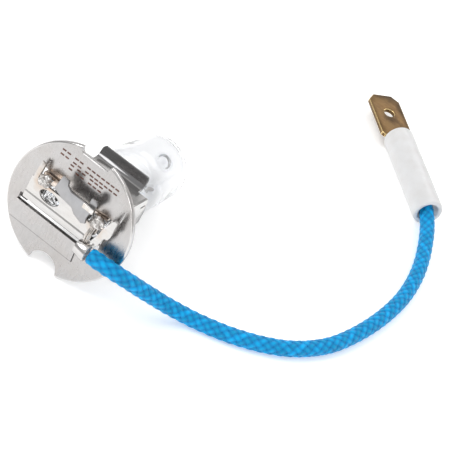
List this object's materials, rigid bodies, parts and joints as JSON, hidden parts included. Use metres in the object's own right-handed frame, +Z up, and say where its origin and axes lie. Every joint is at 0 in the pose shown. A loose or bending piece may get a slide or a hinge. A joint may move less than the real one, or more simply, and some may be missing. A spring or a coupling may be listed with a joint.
{
  "type": "halogen headlight bulb",
  "caption": "Halogen headlight bulb with a round steel flange, clamped quartz capsule, and a braided lead ending in a sleeved flat spade terminal.",
  "frame": {"origin": "on the surface the bulb lies on, below the middle of the bulb without its lead", "axes": "+Z up, +Y level and pointing from the flange towards the glass tip, +X towards the side where the lead leaves"},
  "size_m": [0.0555, 0.0899, 0.0211],
  "materials": {
    "flange_steel": "satin pressed sheet",
    "clamp_steel": "bright rolled sheet",
    "retainer_steel": "smooth spring sheet",
    "quartz": "clear fused quartz",
    "tungsten": "dull drawn wire",
    "molybdenum": "matt foil and wire",
    "nickel": "bright drawn wire",
    "weld_metal": "fused bead with heat tint",
    "tinned_copper": "stranded wire",
    "brass": "aged stamped brass",
    "blue_braid": "woven glass-fibre sleeve",
    "white_sleeve": "translucent silicone",
    "core_insulation": "matt silicone"
  },
  "bodies": {
    "root": {"cable_clamp": "clamp_steel", "conductor_strand": "tinned_copper", "contact_strip": "nickel", "core_insulation": "core_insulation", "filament_coil": "tungsten", "flange_disc": "flange_steel", "foil_ground": "molybdenum", "foil_live": "molybdenum", "glass_envelope": "quartz", "inner_lead_ground": "molybdenum", "inner_lead_live": "molybdenum", "lead_cable": "blue_braid", "lower_clamp": "clamp_steel", "outer_lead_ground": "nickel", "outer_lead_live": "nickel", "retainer_plate": "retainer_steel", "spade_terminal": "brass", "terminal_conductor": "tinned_copper", "terminal_sleeve": "white_sleeve", "upper_clamp": "clamp_steel", "weld_ground": "weld_metal", "weld_live": "weld_metal"}
  },
  "joints": []
}
